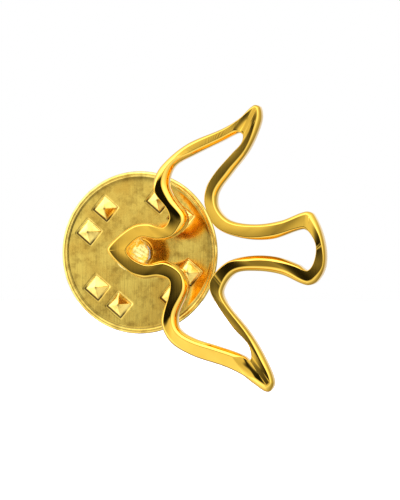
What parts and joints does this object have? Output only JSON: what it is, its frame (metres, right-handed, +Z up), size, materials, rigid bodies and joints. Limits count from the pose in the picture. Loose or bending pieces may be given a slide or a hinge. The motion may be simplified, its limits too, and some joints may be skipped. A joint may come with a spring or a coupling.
{
  "type": "bird lapel pin with butterfly clutch",
  "caption": "Open outline of a flying bird with a soldered nail post, worn on cloth and held behind it by a pinch-wing butterfly clutch with a studded face.",
  "frame": {"origin": "on the post's axis in the plane of the bird's flat back, which is the plane that rests on the cloth", "axes": "+Y along the post from the bird into the cloth; +Z up as worn; the bird flies towards -X and its shiny front faces -Y"},
  "size_m": [0.0201, 0.0099, 0.0204],
  "materials": {
    "gold_plate": "polished",
    "clutch_brass": "satin",
    "solder": "rough, gold plated",
    "post_steel": "plated",
    "spring_steel": "bright"
  },
  "bodies": {
    "pin": {"bird_outline": "gold_plate", "post": "post_steel", "solder": "solder"},
    "grip": {"clutch_spring": "spring_steel"},
    "clutch": {"clutch_face": "clutch_brass", "clutch_housing": "clutch_brass"},
    "upper_wing": {"wing_upper": "clutch_brass"},
    "lower_wing": {"wing_lower": "clutch_brass"}
  },
  "joints": [
    {"name": "clutch_slide", "type": "slide", "parent": "pin", "child": "grip", "axis": [0, 1, 0], "range_m": [-0.0015, 0.009]},
    {"name": "clutch_spin", "type": "hinge", "parent": "grip", "child": "clutch", "pos_m": [0, 0, 0], "axis": [0, 1, 0], "continuous": true},
    {"name": "wing_upper_pinch", "type": "slide", "parent": "clutch", "child": "upper_wing", "axis": [0, 0, -1], "range_m": [0, 0.0003], "stiffness_N_per_m": 2000, "springref_m": -0.0001, "deforming": ["clutch_spring"]},
    {"name": "wing_lower_pinch", "type": "slide", "parent": "clutch", "child": "lower_wing", "axis": [0, 0, 1], "range_m": [0, 0.0003], "stiffness_N_per_m": 2000, "springref_m": -0.0001}
  ],
  "couplings": [
    {"joint": "wing_lower_pinch", "follows": "wing_upper_pinch", "ratio": 1}
  ]
}
